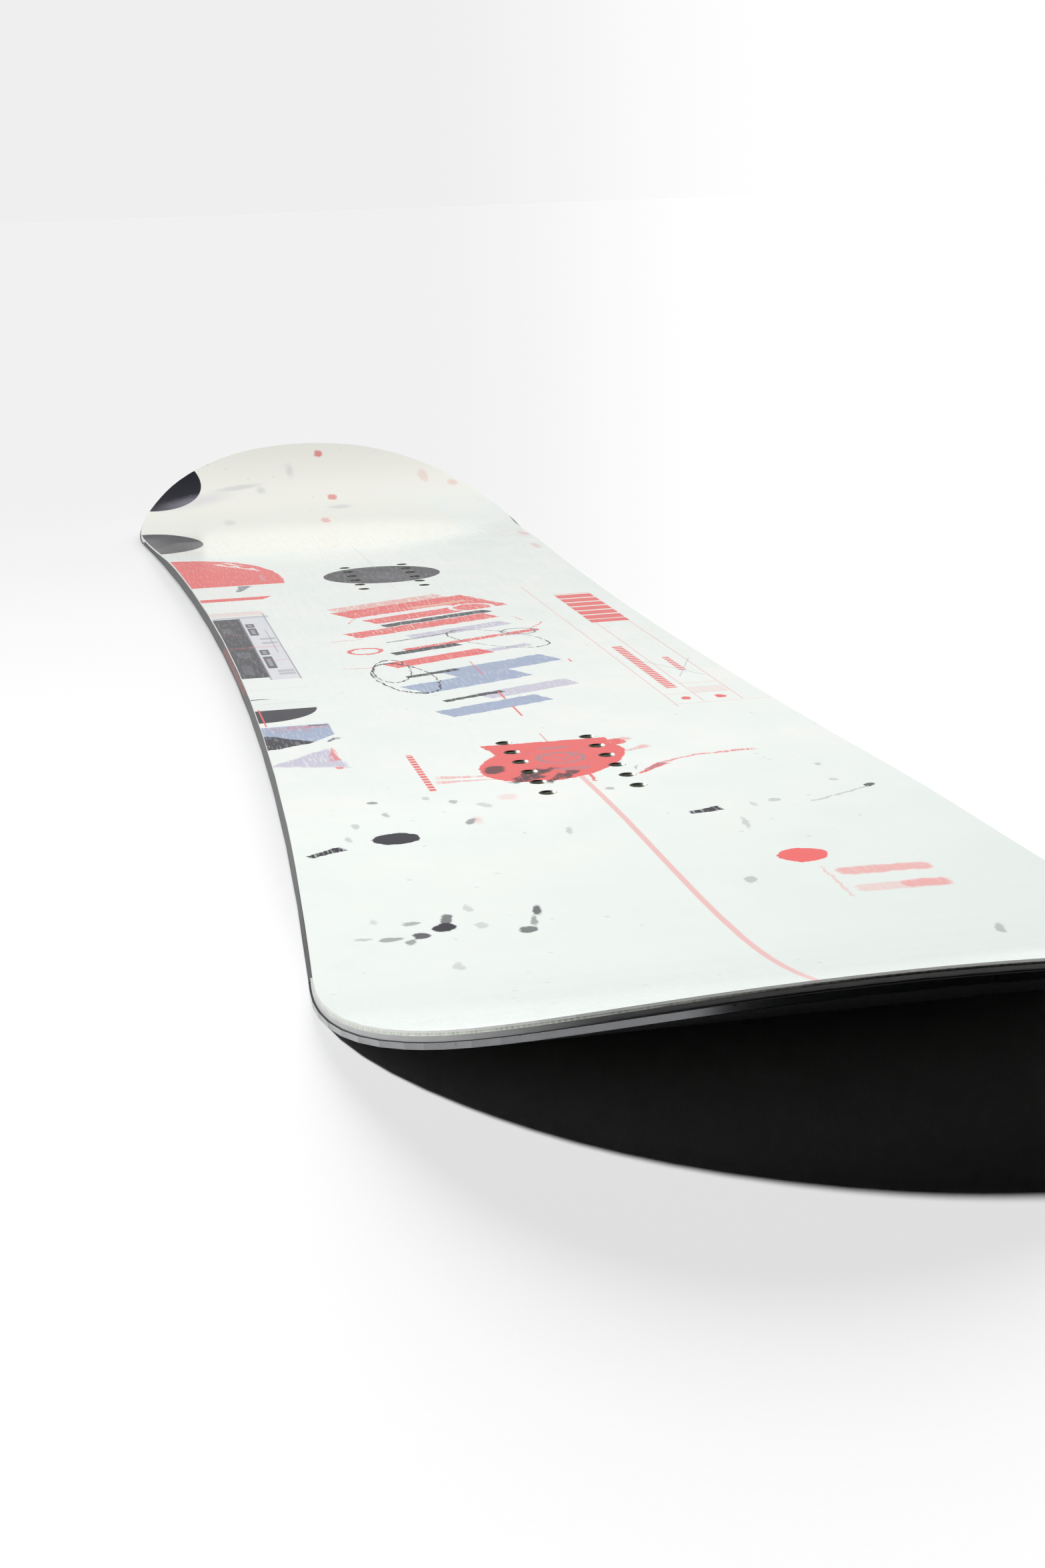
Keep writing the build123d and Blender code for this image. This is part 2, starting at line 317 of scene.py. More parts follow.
def print_left_panels(deck):
    """A dark panel with a light one beside it, a quarter disc and a slate block."""
    deck.lay("bar", "blush", -112, 153, 18, 7, place="crisp", soft=2, strength=0.7)
    deck.lay("bar", "smoke", -108, 138, 17, 4, place="crisp", strength=0.7)
    deck.lay("bar", "pitch", -118, 36, 9, 98, place="crisp", wear=0.1)
    deck.lay("bar", "lilac", -101, 33, 8, 103, place="crisp", strength=0.5)
    for y, half_y in ((106, 7), (84, 13), (13.5, 8.5), (-18.5, 18.5)):
        deck.lay("bar", "pitch", -105, y, 2.6, half_y, extra=1.2, place="crisp", strength=0.85)
        deck.lay("bar", "smoke", -105, y, 1.1, half_y * 0.6, extra=0.6, place="crisp", strength=0.6)
    for x, y, half_x, half_y in ((-109.3, 33, 0.5, 103), (-93.4, 40, 0.4, 112), (-97.5, 50, 0.25, 40)):
        deck.lay("bar", "ash", x, y, half_x, half_y, place="crisp", strength=0.7)
    for x, y, half_x, strength in ((-109, 31.5, 15.5, 0.8), (-101, -13.5, 8, 0.5), (-117, 78, 7, 0.35)):
        deck.lay("bar", "coral", x, y, half_x, 0.55, place="crisp", strength=strength)
    for y in (58, 44, -46, -54):
        deck.lay("bar", "ash", -99, y, 4.5, 3.2, place="crisp", strength=0.45)
    for x, y, half_x, half_y in ((-120, 92, 3, 10), (-117, 8, 4, 9), (-119, -38, 3, 14)):
        deck.lay("bar", "ash", x, y, half_x, half_y, place="crisp", strength=0.3)
    deck.lay("bar", "smoke", -108, -95, 16, 0.35, place="crisp", strength=0.4)
    deck.lay("oval", "pitch", -125, -150, 30.5, 30, place="crisp")
    deck.lay("bar", "bare", -106, -136, 30, 14, place="crisp")
    deck.lay("bar", "smoke", -108, -134, 16, 0.35, place="crisp", strength=0.4)
    deck.lay("bar", "coral", -123.6, -168, 0.4, 21, place="crisp")
    deck.lay("bar", "slate", -112, -211, 18.5, 20, place="crisp", wear=0.25)
    deck.lay("wedge", "pitch", -126, -226, 13, 14, turn=22, extra=-0.5, wear=0.2)
    for x, y, half_x, half_y, turn in (
        (-109, -197, 15, 0.9, -4),
        (-104, -194, 10, 0.7, 2),
        (-112, -203, 9, 0.5, -6),
    ):
        deck.lay("bar", "coral", x, y, half_x, half_y, turn=turn, wear=0.5, strength=0.7)
    deck.lay("bar", "pitch", -99, -193.5, 5, 1.3, turn=3, strength=0.6)
    deck.lay("bar", "bare", -92, -240, 50, 16, turn=50, place="crisp")
    deck.lay("wedge", "ash", -96, -229, 1.5, 5, turn=-35, extra=0.5, wear=0.4)


def print_left_panels_end(deck):
    """What stands behind the left panels, beside the rear inserts: a pale fan, a spot and a ticked bar."""
    deck.lay("wedge", "lilac", -107, -265, 10, 18, turn=-20, extra=-0.9, soft=1.5, wear=0.5)
    deck.lay("wedge", "coral", -99, -258, 1.6, 15, turn=-3, extra=-0.8, wear=0.7, strength=0.7)
    deck.lay("oval", "coral", -100, -288, 1.6, 2.2, strength=0.8)
    deck.lay("bar", "coral", -66.5, -310, 1.5, 36, place="crisp", gaps=deck.rows["ticks"], wear=0.75)


def print_brushwork(deck):
    """The middle's brushwork: worn bands of colour, all laid at one slant, with a few plain rings,
    thin loops and loose strokes over them."""
    slant = 24
    for ink, x, y, half_x, half_y, wear in (
        ("blush", -12, 152, 40, 13, 0.7),
        ("coral", 2, 126, 48, 27, 0.35),
        ("chalk", -10, 116, 36, 5, 0.1),
        ("peach", 16, 139, 20, 3, 0.2),
        ("pitch", 6, 88, 38, 5, 0.25),
        ("coral", -6, 66, 50, 9, 0.45),
        ("lilac", 12, 43, 34, 7, 0.55),
        ("ash", -12, 27, 24, 1.2, 0.4),
        ("coral", 14, 8, 46, 3.5, 0.55),
        ("pitch", -16, -12, 22, 4.5, 0.25),
        ("lilac", 20, -29, 24, 4, 0.6),
        ("coral", -14, -42, 32, 8, 0.2),
        ("slate", 14, -76, 34, 11, 0.15),
        ("pitch", -24, -84, 16, 3, 0.35),
        ("slate", -10, -112, 34, 12, 0.2),
        ("lilac", 16, -143, 28, 8, 0.3),
        ("pitch", -14, -152, 18, 2.5, 0.2),
        ("slate", -8, -179, 30, 9, 0.1),
    ):
        deck.lay("bar", ink, x, y, half_x, half_y, turn=slant, wear=wear)
    for ink, x, y, radius, line in (
        ("chalk", 34, 120, 13, 1.4),
        ("ash", 44, 24, 10, 0.8),
        ("coral", -50, -6, 9, 1.6),
    ):
        deck.lay("ring", ink, x, y, radius, radius, extra=line, wear=0.4)
    # thin loops and loose strokes
    for x, y, half_x, half_y, turn, line in (
        (-40, -92, 15, 44, 6, 0.5),
        (-44, -70, 10, 32, -4, 0.35),
        (28, 6, 18, 40, 30, 0.35),
    ):
        deck.lay("ring", "pitch", x, y, half_x, half_y, turn=turn, extra=line, wear=0.9, soft=0.2)
    for x, y, length, turn in (
        (-56, 32, 10, -80),
        (58, 40, 12, -30),
        (52, 70, 9, 10),
        (-60, -56, 9, 84),
        (-44, 98, 10, -20),
    ):
        deck.lay("bar", "coral", x, y, 0.4, length, turn=turn, wear=0.7)
    deck.lay("bar", "coral", 0.6, -78, 0.35, 20, place="crisp", strength=0.8)
    for y, half_y in ((-155, 9.5), (-196, 12)):
        deck.lay("bar", "coral", 0, y, 0.5, half_y, place="crisp")
    deck.lay("bar", "coral", 53, -76, 0.6, 4.5, place="crisp", strength=0.8)


def print_right_frame(deck):
    """Fine coral frame lines with plain blocks and rows of ticks in them."""
    deck.lay("bar", "coral", 102, 90, 11.5, 55, place="crisp", gaps=deck.rows["blocks"], wear=0.95)
    deck.lay("bar", "coral", 102, 44, 11, 7, place="crisp", gaps=deck.rows["ticks"], wear=0.8, strength=0.4)
    for x, y, half_y, strength in ((77.5, -15, 200, 0.45), (92.7, -85, 122, 0.45), (112.5, -85, 122, 0.5)):
        deck.lay("bar", "coral", x, y, 0.3, half_y, place="crisp", strength=strength)
    for x, y, half_x, strength in (
        (102, -160, 10, 0.55),
        (95, -185, 17.5, 0.5),
        (100, -209, 27, 0.45),
        (101, -30, 24, 0.2),
    ):
        deck.lay("bar", "coral", x, y, half_x, 0.3, place="crisp", strength=strength)
    deck.lay("bar", "coral", 86, -107, 2.9, 62, place="crisp", gaps=deck.rows["ticks"], wear=0.95)
    deck.lay(
        "bar", "coral", 103.5, -106, 1.9, 20,
        place="crisp", gaps=deck.rows["ticks"], wear=0.9, strength=0.9,
    )
    deck.lay(
        "bar", "coral", 102.5, -177, 9, 7,
        place="crisp", gaps=deck.rows["hatch"], wear=1.0, strength=0.45,
    )
    for x, turn in ((100, 24), (106, -20)):
        deck.lay("bar", "smoke", x, -118, 0.4, 26, turn=turn, place="crisp", strength=0.6)
    deck.lay("oval", "coral", 86, -196.5, 2.4, 3.6, soft=0.4)
    deck.lay("oval", "coral", 103.5, -197, 2.9, 3.8, soft=0.4)


def print_centre_line(deck):
    """A coral line from the rear inserts to the end of the tail, running a little off the middle."""
    deck.lay("bar", "coral", 3.3, -500, 1.2, 160, turn=1.15, place="crisp", soft=0.5, strength=0.6)


def print_near_pack(deck):
    """The coral patch round the rear inserts, its dark strokes, and a plain ringed stamp."""
    deck.lay("oval", "coral", 0, -303, 27, 36, turn=-32)
    deck.lay("wedge", "coral", -2, -290, 26, 22, extra=0.15)
    deck.lay("oval", "coral", -9, -311, 29, 36, turn=-38, wear=0.0)
    deck.lay("wedge", "coral", 22, -281, 9, 13, turn=-75, extra=-0.6, wear=0.2)
    deck.lay("oval", "coral", -20, -302, 15, 26, turn=-30, wear=0.1)
    for x, y, half_y, turn in (
        (-46, -325, 15, 82),
        (-50, -332, 13, 86),
        (32, -298, 12, -60),
        (28, -276, 10, -78),
    ):
        deck.lay("wedge", "coral", x, y, 1.6, half_y, turn=turn, extra=0.7, wear=0.7, strength=0.5)
    deck.lay("oval", "pitch", -34, -316, 4.6, 7.5, turn=-20, soft=1.2, strength=0.85)
    for x, y, half_x, half_y, turn in (
        (-21, -330, 3.6, 11, -48),
        (-24, -338, 2.8, 9, -56),
        (-11, -340, 2.2, 9, -36),
        (-4, -335, 2.4, 8, -28),
        (-15, -325, 1.6, 9, -60),
    ):
        deck.lay(
            "wedge", "pitch", x, y, half_x, half_y,
            turn=turn, extra=0.3, wear=0.45, soft=0.5, strength=0.85,
        )
    for half_size, line in ((10.6, 0.6), (8.8, 0.25)):
        deck.lay("ring", "ash", -1, -302.5, half_size, half_size, extra=line, place="crisp", wear=0.35)
    for x, y, length, turn in ((-4, -300, 5, 30), (2, -303, 5.5, -40), (5, -300, 4, 10)):
        deck.lay("bar", "ash", x, y, 0.5, length, turn=turn, extra=0.5, place="crisp", strength=0.8)
    for x, y, turn in ((-12, -290, 45), (12, -290, -45), (-13, -315, -45), (11, -315, 45)):
        deck.lay("bar", "ash", x, y, 0.3, 4.5, turn=turn, place="crisp", strength=0.6)
    for y, half_x in ((-281, 8), (-283.2, 6), (-323.5, 9), (-326, 7)):
        deck.lay("bar", "ash", 0, y, half_x, 0.8, place="crisp", wear=0.6, strength=0.8)
    deck.lay("bar", "coral", 0, -262, 0.35, 12, place="crisp", strength=0.7)
    print_centre_line(deck)
    deck.lay("bar", "coral", 4.3, -345, 0.8, 11, wear=0.3)
    deck.lay("wedge", "coral", 33, -336, 1.8, 11, turn=-46, extra=0.6, wear=0.2)
    deck.lay("wedge", "ash", 36, -333, 1.0, 9, turn=-46, extra=0.3, wear=0.2, strength=0.7)
    deck.lay("wedge", "coral", 51, -321, 1.0, 12, turn=-64, extra=-0.3, wear=0.6, strength=0.7)
    deck.lay("wedge", "coral", 72, -316, 1.3, 14, turn=-86, extra=0.6, wear=0.7, strength=0.75)
    deck.lay("bar", "ash", 27, -332, 0.5, 4, turn=-20, wear=0.4, strength=0.6)


def print_tail(deck):
    """Ink spots and splatter, a coral disc and two plain rounded bars."""
    deck.lay("oval", "pitch", -93.5, -416, 9.6, 8.2)
    deck.lay("wedge", "pitch", -123, -428, 2.4, 8, turn=-62, extra=0.2, wear=0.4)
    deck.lay("oval", "coral", 56, -484, 9.8, 8.6)
    for x, y, half_x, strength in ((80, -509, 18, 0.55), (80, -531, 18, 0.3), (89, -530.5, 9, 0.45)):
        deck.lay("bar", "coral", x, y, half_x, 4.6, turn=-2, extra=3, soft=1.2, wear=0.2, strength=strength)
    deck.lay("bar", "coral", 58, -520, 0.6, 20, strength=0.35, wear=0.5)
    deck.lay("wedge", "pitch", 37, -413, 2.6, 7, turn=-76, extra=0.2, wear=0.35)
    deck.lay("oval", "pitch", 113.5, -395.5, 2.2, 3, turn=-30, strength=0.9)
    deck.lay("bar", "smoke", 98, -405, 0.9, 17, turn=-62, wear=0.4, strength=0.7)
    # splatter: a knot of drops, each pulled out a little along its flight
    for x, y, half_x, half_y, turn, strength in (
        (-93, -531, 4.2, 5.5, -30, 1.0),
        (-91, -522, 2.2, 6, -8, 0.8),
        (-103, -538, 3.2, 3.6, 0, 0.9),
        (-107, -545, 1.6, 4, -20, 0.6),
        (-114, -540, 4.2, 2.4, 0, 0.55),
        (-104, -524, 3.4, 2.2, 10, 0.5),
        (-123, -537, 3, 1.6, 0, 0.35),
        (-80, -533, 2.4, 4, 0, 0.25),
        (-81, -512, 1.6, 4.5, 0, 0.25),
        (-117, -518, 1.5, 3, 0, 0.2),
        (-57, -521, 1.9, 5.5, -14, 0.85),
        (-61, -533, 1.2, 6, -10, 0.6),
        (-65, -543, 2.8, 3.8, -30, 0.8),
        (28, -508, 2.4, 4, -10, 0.35),
        (-96, -578, 2, 5, 0, 0.25),
        (92, -596, 1.8, 7, -16, 0.4),
        (-95, -358, 2.4, 2.6, 0, 0.6),
        (-62, -367, 1.8, 3.4, 0, 0.45),
        (-72, -358, 1.6, 3, 0, 0.3),
        (-50, -377, 2.6, 4.4, 30, 0.25),
        (-60, -400, 1.8, 4.6, -22, 0.6),
        (-92, -380, 1.2, 4, 0, 0.4),
        (-107, -393, 1.6, 4, 0, 0.3),
        (-24, -426, 1.2, 5, -10, 0.3),
        (7, -366, 1.8, 2.6, 0, 0.45),
        (104, -353, 1.4, 2.4, 0, 0.35),
        (112, -349, 1.2, 1.8, 0, 0.35),
        (68, -406, 2.6, 3, 0, 0.3),
        (58, -410, 1.5, 3, 0, 0.25),
        (102, -382, 2.2, 2.2, 0, 0.25),
        (47, -436, 1.1, 8, -6, 0.3),
        (-112, -412, 1.1, 4, 0, 0.3),
    ):
        deck.lay("oval", "pitch", x, y, half_x, half_y, turn=turn, soft=0.5, strength=strength)
    for x, y, half_x, half_y, strength in (
        (-38, -366, 4, 5, 0.2),
        (-57, -399, 1.4, 4, 0.35),
    ):
        deck.lay("oval", "coral", x, y, half_x, half_y, soft=1.6, strength=strength)


def printed_sheet(name, prints):
    """Polyamide topsheet, printed from behind and lacquered: the ink lies under a clear hard gloss,
    so colours stay flat and even while the lamps mirror on top. Fine scuffs dull the gloss a little."""
    material, tree = empty_material(f"topsheet_printed_polyamide_{name}")
    place = place_in_mm(tree)
    parts = add(tree, "ShaderNodeSeparateXYZ", {0: place}).outputs
    crisp = add(tree, "ShaderNodeCombineXYZ", {"X": parts["X"], "Y": parts["Y"]}).outputs[0]
    # brush edges: wobble of a few millimetres with finer bristle marks on it
    wobble = add(
        tree,
        "ShaderNodeTexNoise",
        {"Vector": crisp, "Scale": 0.12, "Detail": 5.0, "Roughness": 0.7},
    )
    shift = add(
        tree,
        "ShaderNodeVectorMath",
        {0: wobble.outputs["Color"], 1: (0.5, 0.5, 0.5)},
        operation="SUBTRACT",
    )
    shift = add(tree, "ShaderNodeVectorMath", {0: shift.outputs[0], 1: (6, 6, 0)}, operation="MULTIPLY")
    ragged = add(tree, "ShaderNodeVectorMath", {0: crisp, 1: shift.outputs[0]}, operation="ADD").outputs[0]
    # dry bristles leave streaks about a millimetre wide and 15 long, on a slant
    slant = add(
        tree, "ShaderNodeMapping", {"Vector": crisp, "Rotation": (0, 0, radians(35)), "Scale": (0.9, 0.07, 1)}
    )
    streaks = add(tree, "ShaderNodeTexNoise", {"Vector": slant.outputs[0], "Scale": 1.0, "Detail": 3.0})
    gaps = add(
        tree,
        "ShaderNodeMapRange",
        {"Value": streaks.outputs["Fac"], "From Min": 0.52, "From Max": 0.62},
        interpolation_type="SMOOTHSTEP",
        clamp=False,
    ).outputs[0]
    # rows of ticks, of blocks and of hatching: what shows between them is left unprinted
    rows = {}
    for row, pitch, share in (("ticks", 5.0, 0.66), ("blocks", 16.0, 0.8), ("hatch", 2.0, 0.35)):
        turns = add(tree, "ShaderNodeMath", {0: parts["Y"], 1: 1 / pitch}, operation="MULTIPLY")
        step = add(tree, "ShaderNodeMath", {0: turns.outputs[0]}, operation="FRACT")
        rows[row] = add(
            tree,
            "ShaderNodeMath",
            {0: step.outputs[0], 1: share},
            operation="GREATER_THAN",
        ).outputs[0]
    # the sheet itself: cool white with large faint warm stains
    stains = add(
        tree,
        "ShaderNodeTexNoise",
        {"Vector": crisp, "Scale": 0.018, "Detail": 4.0, "Roughness": 0.6},
    )
    tint = add(tree, "ShaderNodeValToRGB", {"Fac": stains.outputs["Fac"]})
    tint.color_ramp.elements[0].position = 0.35
    tint.color_ramp.elements[0].color = linear("DCE3DF")
    tint.color_ramp.elements[1].position = 0.7
    tint.color_ramp.elements[1].color = linear("E4E5E1")
    # painted shade: it darkens a little towards the tail's right, where the turned-up tail catches less light
    far_tail = add(
        tree,
        "ShaderNodeVectorMath",
        {0: crisp, 1: (0.6, -1, 0)},
        operation="DOT_PRODUCT",
    ).outputs["Value"]
    painted_tail_shade = add(tree, "ShaderNodeMapRange", {"Value": far_tail, "From Min": 340, "From Max": 700})
    sheet = add(
        tree,
        "ShaderNodeMix",
        {0: painted_tail_shade.outputs[0], 6: tint.outputs[0], 7: linear("C8D0CC")},
        data_type="RGBA",
    ).outputs[2]
    deck = Deck(tree, sheet, crisp, ragged, gaps, rows)
    for lay_print in prints:
        lay_print(deck)
    # fine specks of ink, one in some of the 17 mm cells
    cells = add(tree, "ShaderNodeTexVoronoi", {"Vector": ragged, "Scale": 0.06, "Randomness": 1.0})
    speck = add(
        tree,
        "ShaderNodeMapRange",
        {"Value": cells.outputs["Distance"], "From Min": 0.075, "From Max": 0.045, "To Max": 0.22},
    )
    deck.mix(speck.outputs[0], "ash")
    # scuffs: hair-fine scratches mostly along the board
    scuff_place = place_in_mm(tree, (0.6, 18, 1))
    scuffs = add(
        tree,
        "ShaderNodeTexNoise",
        {"Vector": scuff_place, "Scale": 0.5, "Detail": 4.0, "Roughness": 0.7},
    )
    rough = add(
        tree,
        "ShaderNodeMapRange",
        {"Value": scuffs.outputs["Fac"], "From Min": 0.3, "From Max": 0.8, "To Min": 0.12, "To Max": 0.22},
    )
    flow = add(tree, "ShaderNodeTexNoise", {"Vector": place, "Scale": 0.035, "Detail": 1.0})
    shader = add(
        tree,
        "ShaderNodeBsdfPrincipled",
        {
            "Base Color": deck.colour,
            "Roughness": rough.outputs[0],
            "IOR": 1.5,
            "Normal": bump(tree, flow.outputs["Fac"], 0.05),
        },
    )
    finish_material(tree, shader)
    return material


# ---- topsheet -------------------------------------------------------------------------------------
# The fields of the print, each with what is printed in it.
FIELDS = {
    "nose": (print_nose,),
    "front": (print_nose, print_front_pack),
    "panels": (print_left_panels,),
    "brushwork": (print_brushwork,),
    "frame": (print_right_frame,),
    "rear": (print_left_panels_end, print_near_pack),
    "tail": (print_centre_line, print_tail),
}
# The topsheet's material slots: its fields, its cut faces and the lips in its holes.
SLOTS = [*FIELDS, "cut", "lip"]
# Cuts across the board, and along its middle stretch, between the fields of the print.
NOSE_CUT = 435 * MM
FRONT_CUT = 206 * MM
REAR_CUT = -246 * MM
TAIL_CUT = -351 * MM
LEFT_CUT = -80 * MM
RIGHT_CUT = 76 * MM


def field_of(place):
    """Which field of the print a face's middle lies in."""
    if place.y > FRONT_CUT:
        return "nose" if place.y > NOSE_CUT else "front"
    if place.y < REAR_CUT:
        return "tail" if place.y < TAIL_CUT else "rear"
    if place.x < LEFT_CUT:
        return "panels"
    return "frame" if place.x > RIGHT_CUT else "brushwork"


def cut_polyamide():
    """Polyamide where it is sawn or drilled: no print, milky and half clear, with fine saw marks."""
    material, tree = empty_material("topsheet_cut_polyamide")
    marks = add(
        tree,
        "ShaderNodeTexNoise",
        {"Vector": place_in_mm(tree, (0.4, 0.4, 3)), "Scale": 1.0, "Detail": 2.0},
    )
    milk = add(tree, "ShaderNodeValToRGB", {"Fac": marks.outputs["Fac"]})
    milk.color_ramp.elements[0].color = linear("DFE0DD")
    milk.color_ramp.elements[1].color = linear("EDEEEC")
    shader = add(
        tree,
        "ShaderNodeBsdfPrincipled",
        {
            "Base Color": milk.outputs[0],
            "Roughness": 0.4,
            "IOR": 1.5,
            "Normal": bump(tree, marks.outputs["Fac"], 0.02),
        },
    )
    finish_material(tree, shader)
    return material


def ease_hole(mesh, centre, opened):
    """Opens the top of a drilled hole to a cone, opened millimetres in radius, as a countersink does."""
    drilled = 3.5
    for vert in mesh.verts:
        out = vert.co.xy - centre
        if out.length < (drilled + 0.1) * MM and any(face.normal.z > 0.9 for face in vert.link_faces):
            vert.co.xy = centre + out * (opened / drilled)


def make_topsheet(stainless):
    """The frame's topsheet with its drilled holes countersunk, divided along the fields of the print,
    so that each field is a finish of its own. The rolled lips of the inserts line the holes."""
    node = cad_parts["topsheet"]
    mesh = bmesh.new()
    mesh.from_mesh(node.data)
    bmesh.ops.remove_doubles(mesh, verts=mesh.verts, dist=0.001 * MM)
    for axis, cuts in ((1, (NOSE_CUT, FRONT_CUT, REAR_CUT, TAIL_CUT)), (0, (LEFT_CUT, RIGHT_CUT))):
        for cut in cuts:
            at = Vector((0, 0, 0))
            at[axis] = cut
            across = Vector((0, 0, 0))
            across[axis] = 1
            everything = mesh.verts[:] + mesh.edges[:] + mesh.faces[:]
            bmesh.ops.bisect_plane(mesh, geom=everything, dist=0.001 * MM, plane_co=at, plane_no=across)
    for pack, opened in (("inserts_front", 3.6), ("inserts_rear", 4.0)):
        low, high = (Vector(corner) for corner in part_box(pack))
        for column in (-20, 20):
            for row in (-50, -30, -10, 10, 30, 50):
                ease_hole(mesh, (low.xy + high.xy) / 2 + Vector((column, row)) * MM, opened)
    for face in mesh.faces:
        face.smooth = True
        middle = face.calc_center_median()
        slot = field_of(middle)
        if abs(face.normal.z) < 0.8:
            over_inserts = abs(middle.x) < 30 * MM and abs(middle.y) < 400 * MM
            slot = "lip" if over_inserts else "cut"
        face.material_index = SLOTS.index(slot)
    data = bpy.data.meshes.new("printed_topsheet")
    mesh.to_mesh(data)
    mesh.free()
    data.set_sharp_from_angle(angle=radians(14))
    for name, prints in FIELDS.items():
        data.materials.append(printed_sheet(name, prints))
    data.materials.append(cut_polyamide())
    data.materials.append(stainless)
    sheet = bpy.data.objects.new("printed_topsheet", data)
    bpy.context.scene.collection.objects.link(sheet)
    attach(sheet, "root")
    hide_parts("topsheet")
    return sheet


# ---- the other finishes ---------------------------------------------------------------------------
def sintered_base():
    """Sintered polyethylene, black with graphite, stone-ground: a waxy dark sheen drawn out along
    fine lengthwise grooves and faint broken cross marks. Real grooves lie about 0.3 mm apart; these
    are 0.9 mm, so that they show."""
    material, tree = empty_material("base_sintered_polyethylene")
    grooves = add(
        tree,
        "ShaderNodeTexNoise",
        {"Vector": place_in_mm(tree, (0.9, 60, 1)), "Scale": 1.0, "Detail": 3.0, "Roughness": 0.6},
    )
    crystals = add(tree, "ShaderNodeTexVoronoi", {"Vector": place_in_mm(tree), "Scale": 0.45})
    colour = add(tree, "ShaderNodeValToRGB", {"Fac": crystals.outputs["Color"]})
    colour.color_ramp.elements[0].color = linear("0E0E10")
    colour.color_ramp.elements[1].color = linear("1C1C1F")
    rough = add(
        tree, "ShaderNodeMapRange", {"Value": grooves.outputs["Fac"], "To Min": 0.3, "To Max": 0.5}
    )
    shader = add(
        tree,
        "ShaderNodeBsdfPrincipled",
        {
            "Base Color": colour.outputs[0],
            "Roughness": rough.outputs[0],
            "IOR": 1.51,
            "Normal": bump(tree, grooves.outputs["Fac"], 0.06),
        },
    )
    finish_material(tree, shader)
    return material


def ground_steel():
    """Hardened carbon steel, belt-ground: bright along its length with fine brushed lines and a few
    small rust freckles. Grinding lines are 0.25 mm apart."""
    material, tree = empty_material("edge_ground_steel")
    lines = add(
        tree,
        "ShaderNodeTexNoise",
        {"Vector": place_in_mm(tree, (0.25, 22, 0.25)), "Scale": 1.0, "Detail": 3.0},
    )
    freckles = add(tree, "ShaderNodeTexNoise", {"Vector": place_in_mm(tree), "Scale": 0.3, "Detail": 4.0})
    spot = add(
        tree,
        "ShaderNodeMapRange",
        {"Value": freckles.outputs["Fac"], "From Min": 0.66, "From Max": 0.74},
    )
    colour = add(
        tree,
        "ShaderNodeMix",
        {"Factor": spot.outputs[0], 6: linear("A4A6A9"), 7: linear("7C6E62")},
        data_type="RGBA",
    )
    rough = add(tree, "ShaderNodeMapRange", {"Value": lines.outputs["Fac"], "To Min": 0.1, "To Max": 0.2})
    # the shading leans down as the ends turn up, as on a face ground square to the base
    along = add(tree, "ShaderNodeSeparateXYZ", {0: place_in_mm(tree)}).outputs["Y"]
    from_middle = add(tree, "ShaderNodeMath", {0: along}, operation="ABSOLUTE")
    tip = add(
        tree,
        "ShaderNodeMapRange",
        {"Value": from_middle.outputs[0], "From Min": 565, "From Max": 770, "To Max": -0.85},
    )
    down = add(tree, "ShaderNodeCombineXYZ", {"Z": tip.outputs[0]})
    facing = add(tree, "ShaderNodeNewGeometry").outputs["Normal"]
    tipped = add(tree, "ShaderNodeVectorMath", {0: facing, 1: down.outputs[0]}, operation="ADD")
    square = add(tree, "ShaderNodeVectorMath", {0: tipped.outputs[0]}, operation="NORMALIZE").outputs[0]
    shader = add(
        tree,
        "ShaderNodeBsdfPrincipled",
        {
            "Base Color": colour.outputs[2],
            "Metallic": 1.0,
            "Roughness": rough.outputs[0],
            "Normal": bump(tree, lines.outputs["Fac"], 0.015, square),
        },
    )
    finish_material(tree, shader)
    return material


def damping_rubber():
    """Calendered rubber foil: dead black with a faint grain from the rolls, 0.7 mm across."""
    material, tree = empty_material("foil_calendered_rubber")
    grain = add(tree, "ShaderNodeTexNoise", {"Vector": place_in_mm(tree), "Scale": 1.4, "Detail": 2.0})
    colour = add(tree, "ShaderNodeValToRGB", {"Fac": grain.outputs["Fac"]})
    colour.color_ramp.elements[0].color = linear("161617")
    colour.color_ramp.elements[1].color = linear("242426")
    shader = add(
        tree,
        "ShaderNodeBsdfPrincipled",
        {
            "Base Color": colour.outputs[0],
            "Roughness": 0.75,
            "IOR": 1.52,
            "Normal": bump(tree, grain.outputs["Fac"], 0.05),
        },
    )
    finish_material(tree, shader)
    return material


def glass_laminate():
    """Stitched glass cloth in epoxy: milky green-white, with rovings 2 mm wide crossing at 45
    degrees that show as a soft lattice in the resin."""
    material, tree = empty_material("laminate_glass_epoxy")
    place = place_in_mm(tree)
    lattice = None
    for turn in (45, -45):
        rotation = (0, 0, radians(turn))
        turned = add(tree, "ShaderNodeMapping", {"Vector": place, "Rotation": rotation}).outputs[0]
        rovings = add(
            tree,
            "ShaderNodeTexWave",
            {
                "Vector": turned,
                "Scale": 0.157,
                "Distortion": 0.6,
                "Detail": 1.0,
            },
        ).outputs["Fac"]
        lattice = rovings if lattice is None else add(
            tree, "ShaderNodeMath", {0: lattice, 1: rovings}, operation="MAXIMUM"
        ).outputs[0]
    colour = add(tree, "ShaderNodeValToRGB", {"Fac": lattice})
    colour.color_ramp.elements[0].color = linear("B9C2B4")
    colour.color_ramp.elements[1].color = linear("DDE2D6")
    shader = add(
        tree,
        "ShaderNodeBsdfPrincipled",
        {
            "Base Color": colour.outputs[0],
            "Roughness": 0.28,
            "IOR": 1.54,
            "Normal": bump(tree, lattice, 0.04),
        },
    )
    finish_material(tree, shader)
    return material


